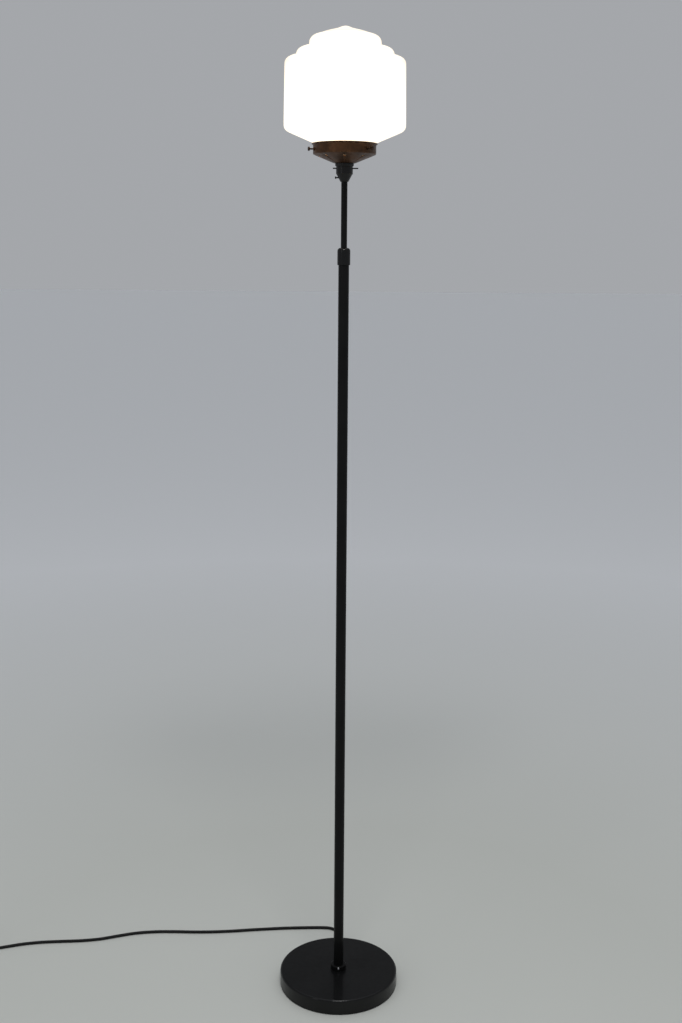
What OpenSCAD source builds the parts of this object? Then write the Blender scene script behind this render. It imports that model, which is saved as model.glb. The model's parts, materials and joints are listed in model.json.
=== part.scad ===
// Floor lamp with a round weighted base, a telescoping pole, a bayonet
// lampholder, a three-screw gallery and a stepped opal glass shade.
// Millimetres, +Z up. The origin is the centre of the base on the floor.

/* [Base] */
// Diameter of the round base
base_d = 230; // [220:1:250]
// Height of the base above the floor
base_h = 30; // [30:0.5:34]
// Rounding of the base's top edge
base_edge = 4; // [3:0.5:6]
// Wall of the spun steel base cover
cover_wall = 2; // [1.5:0.1:2.2]
// Height of the pads under the base
foot_h = 2.5; // [2:0.1:2.6]

/* [Pole] */
// Outside diameter of the lower tube
tube_d = 19; // [18.6:0.1:19.1]
// Wall of the lower tube
tube_wall = 1.5; // [1.2:0.1:1.6]
// Height of the lower tube's top end
tube_top = 1412; // [1200:1:1500]
// Outside diameter of the telescoping rod
rod_d = 11; // [10.6:0.1:11]
// Wall of the telescoping rod
rod_wall = 1.25; // [1:0.05:1.4]
// Length of the rod that shows above the collar
rod_show = 113; // [112:1:260]
// Length of the rod that stays inside the lower tube
rod_hidden = 382; // [380:1:420]

/* [Collar] */
// Diameter of the clamping collar
collar_d = 23; // [23:0.5:26]
// Height of the clamping collar
collar_h = 30; // [30:1:34]

/* [Lampholder] */
// Outside diameter of the lampholder
holder_d = 29.5; // [29.5:0.1:30.5]
// Length of the push bar through the lampholder
bar_l = 44.6; // [42:0.2:50]
// Diameter of the push bar
bar_d = 2.2; // [2:0.1:2.6]

/* [Gallery] */
// Diameter of the gallery's straight band
gallery_d = 110; // [110:1:112]
// Diameter of the gallery's flared rim
rim_d = 115; // [114:1:116]
// How many vent holes the gallery's cone has
vents = 8; // [4:1:12]

/* [Shade] */
// Largest diameter of the glass shade
shade_d = 212; // [206:1:230]
// Height of the shade's straight body above its mouth
body_top = 146; // [120:1:180]
// Thickness of the glass
glass_t = 3; // [2.5:0.1:3.5]

/* [Cord] */
// Diameter of the mains cord
cord_d = 6; // [5.8:0.1:6]

/* [Hidden] */
$fn = 64;

// Finishes
black_paint = [0.03, 0.03, 0.03];
dark_bronze = [0.16, 0.11, 0.07];
opal = [0.97, 0.95, 0.90];
clear_glass = [0.85, 0.90, 0.92, 0.4];
brass = [0.72, 0.58, 0.30];
zinc = [0.62, 0.63, 0.65];
black_rubber = [0.05, 0.05, 0.05];
ivory = [0.88, 0.86, 0.78];

// Base
base_r = base_d / 2;
cover_lift = 1;
plate_z = foot_h;
plate_t = 1.5;
plate_top = plate_z + plate_t;
weight_r = base_r - cover_wall - 2;
weight_z = 14;
weight_top = base_h - cover_wall;
well_r = 14;
well_top = 21;
foot_ring = 95;
foot_r = 9;
pillar_ring = 72;
pillar_r = 8;
screw_r = 2;
relief_z = 10;
relief_hole = 5.1;

// Threaded tube through the base, and what is on it
nipple_r = 5;
nipple_bore = 3.4;
nipple_z = 15;
nipple_top = 48;
washer_t = 1.5;
lug_t = 0.8;
nut_t = 4.5;
nut_flats = 15;
lead_r = 2.5;
lead_bend = 8;

// Pole
tube_r = tube_d / 2;
tube_bore = tube_r - tube_wall;
ferrule_r = 15;
ferrule_h = 10;
ferrule_screw_z = base_h + 6.5;
plug_top = base_h + 20;
bush_z = tube_top - 28;
bush_flange = 2;
collet_z = tube_top + bush_flange;
collet_h = 9;
collar_r = collar_d / 2;
collar_z = tube_top - 15;
collar_top = collar_z + collar_h;
collar_edge = 5.3;

// Rod
rod_r = rod_d / 2;
rod_bore = rod_r - rod_wall;
rod_z = tube_top - rod_hidden;
holder_z = collar_top + rod_show;
rod_top = holder_z + 6;
fit = 0.05;
guide_h = 22;
lead_join = rod_z - 8;
inner_lead_r = 2.4;

// Lampholder, in heights above the bottom of its cap
holder_r = holder_d / 2;
cap_h = 26;
bar_z = 22.8;
bar_x = 1.9;
grub_z = 7;
block_z = 15;
block_top = 30;
block_r = holder_r - 2.1;
contact_y = 5;
terminal_z = 19;
barrel_top = 49;
barrel_r = holder_r - 0.15;
barrel_bore = barrel_r - 1.1;
sleeve_r = 12.5;
sleeve_bore = 11.35;
sleeve_top = 48;
pin_z = 38.3;
turn_angle = 20;

// Gallery, in heights above its underside
gallery_z = holder_z + 31.5;
gallery_r = gallery_d / 2;
rim_r = rim_d / 2;
gallery_t = 1.2;
gallery_foot_r = 19;
cone_h = 14.4;
band_z = 15.3;
band_top = 30.1;
rim_top = 32.9;
vent_ring = 44.5;
vent_r = 2.8;
thumb_z = 22.3;
thumb_tip = 51.8;
thumb_head_x = 63;
thumb_end = 66;
thumb_r = 3.5;
thumb_angles = [-164, -44, 76];

// Shade, in heights above its mouth
shade_z = gallery_z + 18.5;
neck_r = 51.5;
body_r = shade_d / 2;
shade_draft = 1.5;
step_in = [19.9, 22.6];

// Bulb, in heights above its contacts
bulb_z = holder_z + 31.6;
bulb_cap_r = 11;
bulb_r = 30;
bulb_mid = 70.4;

// Mains cord. The first list is the run along the floor, from inside the
// strain relief to the coil; the second is the short tail from coil to plug.
cord_r = cord_d / 2;
cord_route = [[0, 114, 10], [0, 130, 10], [0, 146, 9.2], [0, 158, 6.2], [0, 170, 3.4], [-2, 181, 3],
    [-8, 190.3, 3], [-17, 196.2, 3], [-28, 198.4, 3], [-44, 198.8, 3], [-65, 198.2, 3], [-90, 197, 3],
    [-120, 195, 3], [-152, 191.5, 3], [-186, 187.5, 3], [-222, 182.5, 3], [-262, 178.5, 3],
    [-305, 177, 3], [-348, 177.8, 3], [-392, 176.5, 3], [-432, 170, 3], [-468, 158, 3], [-502, 146, 3],
    [-540, 139, 3], [-582, 135.5, 3], [-622, 131.5, 3], [-658, 124, 3], [-692, 112.5, 3],
    [-722, 102.5, 3], [-750, 99, 3.5], [-775, 99, 4]];
tail_route = [[-775, 99, 16], [-789, 99, 15.6], [-802, 99, 14.4], [-815, 99, 13.2], [-828, 99, 13]];
coil_at = [-775, 135, 4];
coil_radius = [30, 36];
plug_x = -826;
plug_y = 99;
plug_z = 13;
relief_l = 26;
plug_l = 36;

// Shared shapes
module ring(outer, inner, z0, z1) {
    translate([0, 0, z0]) difference() {
        cylinder(r = outer, h = z1 - z0);
        translate([0, 0, -1]) cylinder(r = inner, h = z1 - z0 + 2);
    }
}
module disc(r, z0, z1) {
    translate([0, 0, z0]) cylinder(r = r, h = z1 - z0);
}
module turned(points) {
    rotate_extrude() polygon(points);
}
module along_x(x0, x1, r) {
    translate([x0, 0, 0]) rotate([0, 90, 0]) cylinder(r = r, h = x1 - x0);
}
module along_y(y0, y1, r) {
    translate([0, y0, 0]) rotate([-90, 0, 0]) cylinder(r = r, h = y1 - y0);
}
module around(count, radius, first = 0) {
    for (k = [0 : count - 1]) rotate([0, 0, first + k * 360 / count]) translate([radius, 0, 0]) children();
}
module at_holder() { translate([0, 0, holder_z]) children(); }
module at_gallery() { translate([0, 0, gallery_z]) children(); }
module at_shade() { translate([0, 0, shade_z]) children(); }
module at_bulb() { translate([0, 0, bulb_z]) children(); }
module at_plug() { translate([plug_x, plug_y, plug_z]) rotate([0, 0, 180]) children(); }

// Points of an arc in a turned outline, from angle a to angle b
function arc(x, z, r, a, b, n) =
    [for (k = [0 : n]) let (t = a + (b - a) * k / n) [x + r * cos(t), z + r * sin(t)]];
function flipped(list) = [for (k = [len(list) - 1 : -1 : 0]) list[k]];
function clamped(k, n) = max(0, min(n - 1, k));

// A smooth curve through a route's points, with two steps between neighbours
function on_curve(a, b, c, d, t) =
    0.5 * (2 * b + (c - a) * t + (2 * a - 5 * b + 4 * c - d) * t * t + (3 * b - a - 3 * c + d) * t * t * t);
function smooth(p, steps) = concat([for (k = [0 : len(p) - 2]) for (s = [0 : steps - 1])
    on_curve(p[clamped(k - 1, len(p))], p[k], p[k + 1], p[clamped(k + 2, len(p))], s / steps)],
    [p[len(p) - 1]]);
function unit(v) = v / norm(v);
function heading(p, k) = unit(p[clamped(k + 1, len(p))] - p[clamped(k - 1, len(p))]);
function level_side(t) = unit(cross(t, abs(t[2]) > 0.9 ? [1, 0, 0] : [0, 0, 1]));

// A solid of round section swept along the points of a path
module swept(path, r, sides) {
    rings = [for (k = [0 : len(path) - 1]) let (t = heading(path, k), u = level_side(t), w = cross(u, t))
        for (j = [0 : sides - 1]) path[k] + r * (u * cos(360 * j / sides) + w * sin(360 * j / sides))];
    last = (len(path) - 1) * sides;
    polyhedron(rings, concat(
        [[for (j = [0 : sides - 1]) j]],
        [for (k = [0 : len(path) - 2]) for (j = [0 : sides - 1])
            let (a = k * sides, b = a + sides, next = (j + 1) % sides) [a + j, b + j, b + next, a + next]],
        [[for (j = [sides - 1 : -1 : 0]) last + j]]));
}

// ---- Base ----
module base_cover() {
    inner = base_r - cover_wall;
    inner_edge = base_edge - cover_wall;
    color(black_paint) difference() {
        turned(concat([[base_r, cover_lift]],
            arc(base_r - base_edge, base_h - base_edge, base_edge, 0, 90, 8),
            [[nipple_r + 0.2, base_h], [nipple_r + 0.2, base_h - cover_wall]],
            arc(base_r - base_edge, base_h - base_edge, inner_edge, 90, 0, 4),
            [[inner, cover_lift]]));
        translate([0, 0, relief_z]) along_y(base_r - 20, base_r + 5, relief_hole);
    }
}
module base_weight() {
    color(zinc) difference() {
        union() {
            disc(weight_r, weight_z, weight_top);
            ring(weight_r, weight_r - 9, plate_top, weight_z);
            around(4, pillar_ring, 45) disc(pillar_r, plate_top, weight_z);
        }
        disc(well_r, weight_z - 1, well_top);
        disc(nipple_r + 0.2, 0, base_h);
        translate([-12, weight_r - 14, 0]) cube([24, 20, weight_z + 3]);
        around(4, pillar_ring, 45) disc(screw_r + fit, 0, weight_z - 2);
    }
}
module base_plate() {
    color(zinc) difference() {
        disc(weight_r + 1.5, plate_z, plate_top);
        around(4, pillar_ring, 45) disc(screw_r + 0.2, 0, base_h);
    }
}
module plate_screws() {
    color(zinc) around(4, pillar_ring, 45) {
        difference() {
            disc(3.6, plate_z - 1.8, plate_z);
            translate([-0.5, -4, plate_z - 2]) cube([1, 8, 1]);
        }
        disc(screw_r, plate_z, weight_z - 3);
    }
}
module base_feet() {
    color(black_rubber) around(4, foot_ring) turned([[0, 0], [foot_r - 0.6, 0], [foot_r, 0.6],
        [foot_r, foot_h], [0, foot_h]]);
}
module base_nipple() {
    color(brass) ring(nipple_r, nipple_bore, nipple_z, nipple_top);
}
module base_washer() {
    color(zinc) ring(11, nipple_r + 0.2, well_top - washer_t, well_top);
}
module earth_lug() {
    z = well_top - washer_t - lug_t;
    color(brass) difference() {
        union() {
            disc(7.6, z, z + lug_t);
            translate([4, -2.2, z]) cube([8.5, 4.4, lug_t]);
        }
        disc(nipple_r + 0.2, z - 1, z + 2);
    }
}
module base_nut() {
    z = well_top - washer_t - lug_t - nut_t;
    color(brass) difference() {
        translate([0, 0, z]) cylinder(r = nut_flats / 2 / cos(30), h = nut_t, $fn = 6);
        disc(nipple_r + fit, z - 1, z + nut_t + 1);
    }
}
module base_lead() {
    bend_z = relief_z + lead_bend;
    color(black_rubber) {
        translate([0, 0, relief_z]) along_y(lead_bend, base_r - 3, lead_r);
        translate([0, lead_bend, bend_z]) rotate([90, 0, 90]) rotate([0, 0, 180])
            rotate_extrude(angle = 90) translate([lead_bend, 0]) circle(lead_r);
        disc(lead_r, bend_z, plug_top + 1.9);
    }
}
module cord_relief() {
    color(black_rubber) translate([0, 0, relief_z]) rotate([-90, 0, 0]) difference() {
        turned([[0, base_r - 4.5], [5.8, base_r - 4.5], [5.8, base_r - 2.5], [5, base_r - 2.5],
            [5, base_r + 0.2], [6.5, base_r + 0.2], [6.5, base_r + 1.8], [5.4, base_r + 2.6],
            [4.1, base_r + 27], [0, base_r + 27]]);
        disc(cord_r + fit, base_r - 6, base_r + 30);
    }
}

// ---- Pole ----
module pole_ferrule() {
    color(black_paint) difference() {
        turned(concat([[0, base_h], [ferrule_r, base_h]],
            arc(ferrule_r - 2, base_h + ferrule_h - 2, 2, 0, 90, 5), [[0, base_h + ferrule_h]]));
        disc(tube_r + fit, base_h - 1, base_h + ferrule_h + 1);
        translate([0, 0, ferrule_screw_z]) along_y(-ferrule_r - 1, -tube_r + 1, screw_r + fit);
    }
}
module ferrule_screw() {
    color(zinc) translate([0, 0, ferrule_screw_z]) difference() {
        along_y(-ferrule_r - 0.8, -tube_r - 0.1, screw_r);
        translate([0, -ferrule_r, 0]) rotate([90, 0, 0]) cylinder(r = 1.1, h = 2, $fn = 6);
    }
}
module tube_plug() {
    color(brass) ring(tube_bore - fit, nipple_r + fit, base_h, plug_top);
}
module lower_tube() {
    color(black_paint) ring(tube_r, tube_bore, base_h, tube_top);
}
module tube_bush() {
    color(ivory) difference() {
        union() {
            disc(tube_bore - 0.03, bush_z, tube_top);
            disc(tube_r - 0.2, tube_top, tube_top + bush_flange);
        }
        disc(rod_r + fit, bush_z - 1, tube_top + 3);
    }
}
module grip_collet() {
    color(ivory) difference() {
        translate([0, 0, collet_z]) cylinder(r1 = tube_r - 0.5, r2 = tube_r - 2.1, h = collet_h);
        disc(rod_r + 0.1, collet_z - 1, collet_z + collet_h + 1);
        translate([0, -0.8, collet_z - 1]) cube([tube_r + 1, 1.6, collet_h + 2]);
    }
}
module tube_lead() {
    z0 = plug_top + 2;
    z1 = lead_join - 0.1;
    steps = 64;
    sway = 2.6;
    color(black_rubber) swept([for (k = [0 : steps]) let (f = k / steps, s = sway * sin(180 * f) ^ 2)
        [s * cos(1440 * f), s * sin(1440 * f), z0 + (z1 - z0) * f]], inner_lead_r, 8);
}
module clamp_collar() {
    lip = rod_r + 0.4;
    bore = tube_r + 0.08;
    color(black_paint) turned(concat(
        [[bore, collar_z], [collar_r - 0.9, collar_z], [collar_r, collar_z + 1.5]],
        arc(collar_r - collar_edge, collar_top - collar_edge, collar_edge, 0, 90, 8),
        [[lip, collar_top], [lip, collet_z + collet_h + 1], [tube_r - 1.5, collet_z + collet_h + 1],
        [bore, collet_z + 0.5]]));
}

// ---- Rod ----
module mast_bush() {
    color(ivory) ring(tube_bore - fit, rod_r + fit, rod_z + 0.1, rod_z + guide_h);
}
module mast_rod() {
    color(black_paint) ring(rod_r, rod_bore, rod_z, rod_top);
}
module rod_stop() {
    hole = inner_lead_r + 0.5;
    color(brass) turned([[hole, rod_z - 4], [tube_bore - 0.8, rod_z - 4], [tube_bore - 0.8, rod_z],
        [rod_bore - fit, rod_z], [rod_bore - fit, rod_z + 6], [hole, rod_z + 6]]);
}
module bush_clip() {
    z = rod_z + guide_h + 0.2;
    color(zinc) difference() {
        ring(rod_r + 1.3, rod_r, z, z + 1.2);
        translate([0, -2, z - 1]) cube([20, 4, 4]);
    }
}
module mast_lead() {
    color(black_rubber) disc(inner_lead_r, lead_join, rod_top + 0.5);
}

// ---- Lampholder ----
module holder_cap() {
    bore = rod_r + fit;
    color(black_paint) at_holder() difference() {
        turned([[bore, 0], [7, 0], [13, 11], [holder_r, 13.2], [holder_r, cap_h],
            [block_r + 0.1, cap_h], [block_r + 0.1, block_z], [10.5, 12.2], [bore, 8]]);
        translate([0, 0, bar_z]) along_x(-holder_r - 5, holder_r + 5, bar_d / 2 + 0.35);
        translate([0, 0, grub_z]) along_x(-holder_r, -rod_r + 1, 1.25);
    }
}
module holder_grub() {
    tip = rod_r + fit;
    color(zinc) at_holder() translate([0, 0, grub_z]) difference() {
        union() {
            along_x(-14.4, -tip, 1.2);
            along_x(-16.6, -14.4, 2);
        }
        translate([-17, -0.3, -2.5]) cube([1.2, 0.6, 5]);
    }
}
module holder_barrel() {
    color(black_paint) at_holder() difference() {
        disc(barrel_r, cap_h, barrel_top);
        disc(block_r + 0.1, cap_h - 1, block_top);
        disc(barrel_bore, block_top, barrel_top + 1);
    }
}
module holder_insulator() {
    color(ivory) at_holder() difference() {
        disc(block_r, block_z, block_top);
        translate([0, 0, bar_z]) along_x(-holder_r, holder_r, bar_d / 2 + 0.5);
        for (side = [-1, 1]) {
            translate([0, side * contact_y, 0]) {
                disc(2.3, 17, 27);
                disc(1.7, 16.9, block_top + 1);
            }
            translate([0, 0, terminal_z]) rotate([0, 0, 90 + side * 90]) {
                along_y(7.6, block_r + 1, 1.55);
                along_y(10.4, block_r + 1, 2.6);
            }
        }
    }
}
module bayonet_sleeve() {
    low = pin_z - 1.4;
    high = pin_z + 1.4;
    entry = sleeve_r * sin(turn_angle);
    color(brass) at_holder() difference() {
        ring(sleeve_r, sleeve_bore, block_top, sleeve_top);
        for (side = [0, 180]) rotate([0, 0, side]) translate([9, 0, 0]) rotate([90, 0, 90])
            linear_extrude(5) polygon([[-1.6, low], [entry + 1.5, low], [entry + 1.5, barrel_top + 5],
                [entry - 1.7, barrel_top + 5], [entry - 1.7, high], [-1.6, high]]);
    }
}
module terminal_screws() {
    color(brass) at_holder() translate([0, 0, terminal_z]) for (side = [0, 180]) rotate([0, 0, side])
        difference() {
            union() {
                along_y(7.7, 10.5, 1.5);
                along_y(10.5, block_r - 0.4, 2.4);
            }
            translate([-0.3, block_r - 1, -3]) cube([0.6, 1, 6]);
        }
}
module core_wires() {
    path = [[1.3, 6.5], [1.5, 8.5], [3, 10.5], [5.5, 12.4], [7.2, 13.4], [7.6, 14.5]];
    color([0.45, 0.25, 0.12]) at_holder() for (a = [90, 180, 270])
        swept(smooth([for (q = path) [q[0] * cos(a), q[0] * sin(a), q[1]]], 2), 0.8, 8);
}
module holder_ring() {
    r = holder_r + 1.5;
    color(black_paint) at_holder() difference() {
        turned([[0, 26.2], [r - 0.6, 26.2], [r, 26.8], [r, 30.9], [r - 0.6, 31.5], [0, 31.5]]);
        disc(barrel_r + fit, 25, 33);
    }
}
module shade_ring() {
    color(black_paint) at_holder() ring(18, barrel_r + fit, 31.5 + gallery_t, 38);
}
module push_bar() {
    half = bar_l / 2;
    r = bar_d / 2;
    color(black_paint) at_holder() translate([bar_x, 0, bar_z]) rotate([0, 90, 0])
        turned([[0, -half], [r - 0.4, -half], [r, 0.4 - half], [r, half - 0.4], [r - 0.4, half], [0, half]]);
}
module plunger(side) {
    color(brass) at_holder() translate([0, side * contact_y, 0])
        turned([[0, 22.5], [1.3, 22.5], [1.3, 23.2], [2.15, 23.2], [2.15, 24.4], [1.6, 24.4],
            [1.6, 31.1], [1.1, 31.6], [0, 31.6]]);
}
module plunger_1() { plunger(1); }
module plunger_2() { plunger(-1); }
module contact_spring(side) {
    steps = 60;
    wire = 0.25;
    z0 = 17 + wire;
    z1 = 23.2 - wire;
    color(zinc) at_holder() translate([0, side * contact_y, 0]) swept([for (k = [0 : steps])
        [1.75 * cos(1800 * k / steps), 1.75 * sin(1800 * k / steps), z0 + (z1 - z0) * k / steps]], wire, 6);
}
module spring_1() { contact_spring(1); }
module spring_2() { contact_spring(-1); }

// ---- Gallery ----
module gallery() {
    inner = gallery_r - gallery_t;
    color(dark_bronze) at_gallery() difference() {
        turned([[barrel_r + fit, 0], [gallery_foot_r, 0], [gallery_r - 0.7, cone_h], [gallery_r, band_z],
            [gallery_r, band_top], [rim_r, rim_top - 1], [rim_r, rim_top], [rim_r - 0.6, rim_top],
            [inner, band_top + 0.6], [inner, band_z + 0.4], [inner - 0.5, cone_h + 0.8],
            [gallery_foot_r - 0.4, gallery_t], [barrel_r + fit, gallery_t]]);
        around(vents, vent_ring, -90) disc(vent_r, -1, 30);
        for (a = thumb_angles) rotate([0, 0, a]) translate([0, 0, thumb_z])
            along_x(inner - 2, gallery_r + 2, 2 + fit);
    }
}
module gallery_bushes() {
    color(brass) at_gallery() for (a = thumb_angles) rotate([0, 0, a]) translate([0, 0, thumb_z])
        difference() {
            union() {
                along_x(gallery_r - 2, gallery_r, 2);
                along_x(gallery_r, gallery_r + 1.4, 3);
            }
            along_x(gallery_r - 5, gallery_r + 5, 1.56);
        }
}
module thumbscrew(a) {
    color(dark_bronze) at_gallery() rotate([0, 0, a]) translate([0, 0, thumb_z]) rotate([0, 90, 0])
        difference() {
            turned([[0, thumb_tip], [1, thumb_tip], [1.5, thumb_tip + 0.6], [1.5, thumb_head_x],
                [thumb_r - 0.2, thumb_head_x], [thumb_r, thumb_head_x + 0.3], [thumb_r, thumb_end - 0.5],
                [thumb_r - 0.5, thumb_end], [0, thumb_end]]);
            translate([-0.4, -4, thumb_end - 0.9]) cube([0.8, 8, 2]);
        }
}
module gallery_screw_1() { thumbscrew(thumb_angles[0]); }
module gallery_screw_2() { thumbscrew(thumb_angles[1]); }
module gallery_screw_3() { thumbscrew(thumb_angles[2]); }
module shade_gasket() {
    slope = (cone_h + 0.8 - gallery_t) / (gallery_r - gallery_t - 0.5 - gallery_foot_r + 0.4);
    r0 = neck_r - 3.6;
    r1 = neck_r + 1.4;
    foot = gallery_t + fit - (gallery_foot_r - 0.4) * slope;
    color(black_rubber) at_gallery() turned([[r0, foot + r0 * slope], [r1, foot + r1 * slope],
        [r1, shade_z - gallery_z], [r0, shade_z - gallery_z]]);
}

// ---- Shade ----
// The shade's outline from its mouth to the edge of its crown, moved in by t
function shade_line(t) = let (r2 = body_r - shade_draft - step_in[0], r3 = r2 - step_in[1], b = body_top)
    concat(
        [[neck_r - t, 0], [neck_r - t, 11 + 0.6 * t], [neck_r + 1.5 - 0.75 * t, 14 + 0.7 * t],
            [neck_r + 5.5 - 0.5 * t, 16.2 + 0.9 * t], [body_r - 14 - 0.4 * t, 31 + 0.92 * t]],
        arc(body_r - 11, 44.3, 11 - t, -68, 0, 8),
        arc(body_r - shade_draft - 9, b, 9 - t, 0, 90, 8),
        arc(r2 + 2.5, b + 13.9, 2.5 + t, 270, 180, 5),
        arc(r2 - 10, b + 15, 10 - t, 0, 90, 8),
        arc(r3 + 2.5, b + 28.6, 2.5 + t, 270, 180, 5),
        arc(r3 - 12, b + 34.5, 12 - t, 0, 90, 9),
        [[34, b + 52.4 - t], [17, b + 56.6 - t]]);
module glass_shade() {
    color(opal) at_shade() turned(concat(shade_line(0),
        [[12, body_top + 58.6], [8, body_top + 60.6], [4, body_top + 61.8], [0, body_top + 62.2],
            [0, body_top + 55.2]],
        flipped(shade_line(glass_t))));
}

// ---- Bulb ----
module bulb_cap() {
    color(zinc) at_bulb() {
        turned([[bulb_cap_r - 0.55, 0.9], [bulb_cap_r - 0.3, 0.9], [bulb_cap_r, 1.4], [bulb_cap_r, 24.4],
            [bulb_cap_r + 0.5, 25.4], [bulb_cap_r - 0.1, 25.4], [bulb_cap_r - 0.55, 24.6]]);
        for (side = [0, 180]) rotate([0, 0, side]) translate([0, 0, pin_z - (bulb_z - holder_z)])
            along_x(bulb_cap_r - 0.4, 13.2, 1);
    }
}
module bulb_disc() {
    color([0.04, 0.04, 0.05]) at_bulb() difference() {
        disc(bulb_cap_r - 0.6, 0.6, 3.4);
        for (side = [-1, 1]) translate([0, side * contact_y, 0]) disc(2.3, 0, 1.2);
    }
}
module bulb_contacts() {
    color(zinc) at_bulb() for (side = [-1, 1]) translate([0, side * contact_y, 0]) disc(2.2, 0, 1.2);
}
module bulb_glass() {
    function outline(t) = concat([[10.2 - t, 18], [10.2 - t, 26.5], [13 - t, 32.5]],
        arc(0, bulb_mid, bulb_r - t, -46, 90, 22));
    color(clear_glass) at_bulb() turned(concat(outline(0), flipped(outline(0.9))));
}
module bulb_stem() {
    color(clear_glass) at_bulb()
        turned([[0, 12], [8.8, 12], [8.8, 14], [4, 20], [2.6, 34], [2, 46], [0, 47]]);
}
module bulb_filaments() {
    color([1, 0.85, 0.5]) at_bulb() for (k = [0 : 3]) rotate([0, 0, 45 + 90 * k])
        translate([4, 0, 49]) rotate([0, 9, 0]) cylinder(r = 0.9, h = 34);
}

// ---- Mains cord ----
module power_cord() {
    color(black_rubber) {
        swept(smooth(cord_route, 2), cord_r, 10);
        swept(smooth(tail_route, 2), cord_r, 10);
    }
}
module cord_coil() {
    low = -cord_r;
    high = 2 * cord_d + cord_r;
    inner = coil_radius[0] - cord_r;
    outer = coil_radius[1] + cord_r;
    edge = 2;
    color(black_rubber) translate(coil_at) turned([[inner + edge, low], [outer - edge, low],
        [outer, low + edge], [outer, high - edge], [outer - edge, high], [inner + edge, high],
        [inner, high - edge], [inner, low + edge]]);
}
module cord_tie() {
    wide = 10;
    thick = 0.9;
    inner = coil_radius[0] - cord_r;
    outer = coil_radius[1] + cord_r;
    low = -cord_r - thick;
    high = 2 * cord_d + cord_r + thick;
    color(black_rubber) translate(coil_at) rotate([0, 0, 35]) difference() {
        translate([inner - thick - 0.4, -wide / 2, low])
            cube([outer - inner + 2 * thick + 0.8, wide, high - low]);
        translate([inner - 0.4, -wide, low + thick])
            cube([outer - inner + 0.8, 2 * wide, high - low - 2 * thick]);
    }
}
module plug_relief() {
    color(black_rubber) at_plug() rotate([0, 90, 0]) difference() {
        turned([[0, 0], [cord_r + 1, 0], [cord_r + 1.6, 1.2], [7.5, relief_l], [0, relief_l]]);
        disc(cord_r + fit, -1, relief_l - 6);
    }
}
module plug_body() {
    wide = 36;
    thick = 26;
    color(black_rubber) at_plug() translate([relief_l, 0, 0]) hull() {
        rotate([0, 90, 0]) cylinder(r = 8.5, h = 2, $fn = 32);
        for (y = [-1, 1]) for (z = [-1, 1]) translate([16, y * (wide / 2 - 6), z * (thick / 2 - 6)]) {
            sphere(r = 6, $fn = 32);
            translate([plug_l - 19, 0, 0]) rotate([0, 90, 0]) cylinder(r = 5.2, h = 3, $fn = 32);
        }
    }
}
module plug_pins() {
    pin = [17, 6.3, 1.6];
    color(zinc) at_plug() translate([relief_l + plug_l, 0, 0]) {
        for (side = [-1, 1]) translate([0, side * 6.9, -3.2]) rotate([side * -60, 0, 0])
            translate([0, -pin[1] / 2, -pin[2] / 2]) cube(pin);
        translate([0, 0, 6.2]) rotate([90, 0, 0]) translate([0, -pin[1] / 2, -pin[2] / 2]) cube(pin);
    }
}

base_cover();
base_weight();
base_plate();
plate_screws();
base_feet();
base_nipple();
base_washer();
earth_lug();
base_nut();
base_lead();
cord_relief();
pole_ferrule();
ferrule_screw();
tube_plug();
lower_tube();
tube_bush();
grip_collet();
tube_lead();
clamp_collar();
mast_bush();
mast_rod();
rod_stop();
bush_clip();
mast_lead();
holder_cap();
holder_grub();
holder_barrel();
holder_insulator();
bayonet_sleeve();
terminal_screws();
core_wires();
holder_ring();
shade_ring();
gallery();
gallery_bushes();
shade_gasket();
push_bar();
plunger_1();
plunger_2();
spring_1();
spring_2();
gallery_screw_1();
gallery_screw_2();
gallery_screw_3();
glass_shade();
bulb_cap();
bulb_disc();
bulb_contacts();
bulb_glass();
bulb_stem();
bulb_filaments();
power_cord();
cord_coil();
cord_tie();
plug_relief();
plug_body();
plug_pins();
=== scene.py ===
import json
import math
from collections import namedtuple

import bmesh
import bpy
from mathutils import Matrix, Vector


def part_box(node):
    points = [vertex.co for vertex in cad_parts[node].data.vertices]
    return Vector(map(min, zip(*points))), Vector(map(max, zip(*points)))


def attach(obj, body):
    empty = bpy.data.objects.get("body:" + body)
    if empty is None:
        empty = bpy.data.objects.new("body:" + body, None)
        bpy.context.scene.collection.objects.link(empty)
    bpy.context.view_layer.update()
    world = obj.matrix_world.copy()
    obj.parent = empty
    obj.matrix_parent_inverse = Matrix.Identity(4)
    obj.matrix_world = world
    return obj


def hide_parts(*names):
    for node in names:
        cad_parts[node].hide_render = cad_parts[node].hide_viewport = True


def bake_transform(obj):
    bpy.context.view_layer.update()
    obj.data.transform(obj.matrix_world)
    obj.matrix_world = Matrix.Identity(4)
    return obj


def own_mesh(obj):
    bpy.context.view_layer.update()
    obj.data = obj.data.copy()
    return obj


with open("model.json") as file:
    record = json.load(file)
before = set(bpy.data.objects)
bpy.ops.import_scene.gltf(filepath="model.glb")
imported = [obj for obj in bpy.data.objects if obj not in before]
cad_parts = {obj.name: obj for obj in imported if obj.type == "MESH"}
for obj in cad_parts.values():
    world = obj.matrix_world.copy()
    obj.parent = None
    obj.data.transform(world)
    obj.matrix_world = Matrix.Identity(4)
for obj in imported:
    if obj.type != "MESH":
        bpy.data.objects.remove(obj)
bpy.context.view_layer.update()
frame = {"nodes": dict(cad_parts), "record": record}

# Lengths below are in millimetres unless a name or a comment says metres.
MM = 0.001
TURN = 2 * math.pi


def show(name, data):
    """A new object in the scene."""
    obj = bpy.data.objects.new(name, data)
    bpy.context.scene.collection.objects.link(obj)
    return obj


# ---- camera
# The eye of a person who stands back from the lamp, in metres.
EYE = (-0.0016, -2.256, 1.402)
TILT_DOWN = math.radians(11.27)
ROLL = math.radians(0.43)
LENS = 44.0
SIGHT = 200.0  # metres


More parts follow.
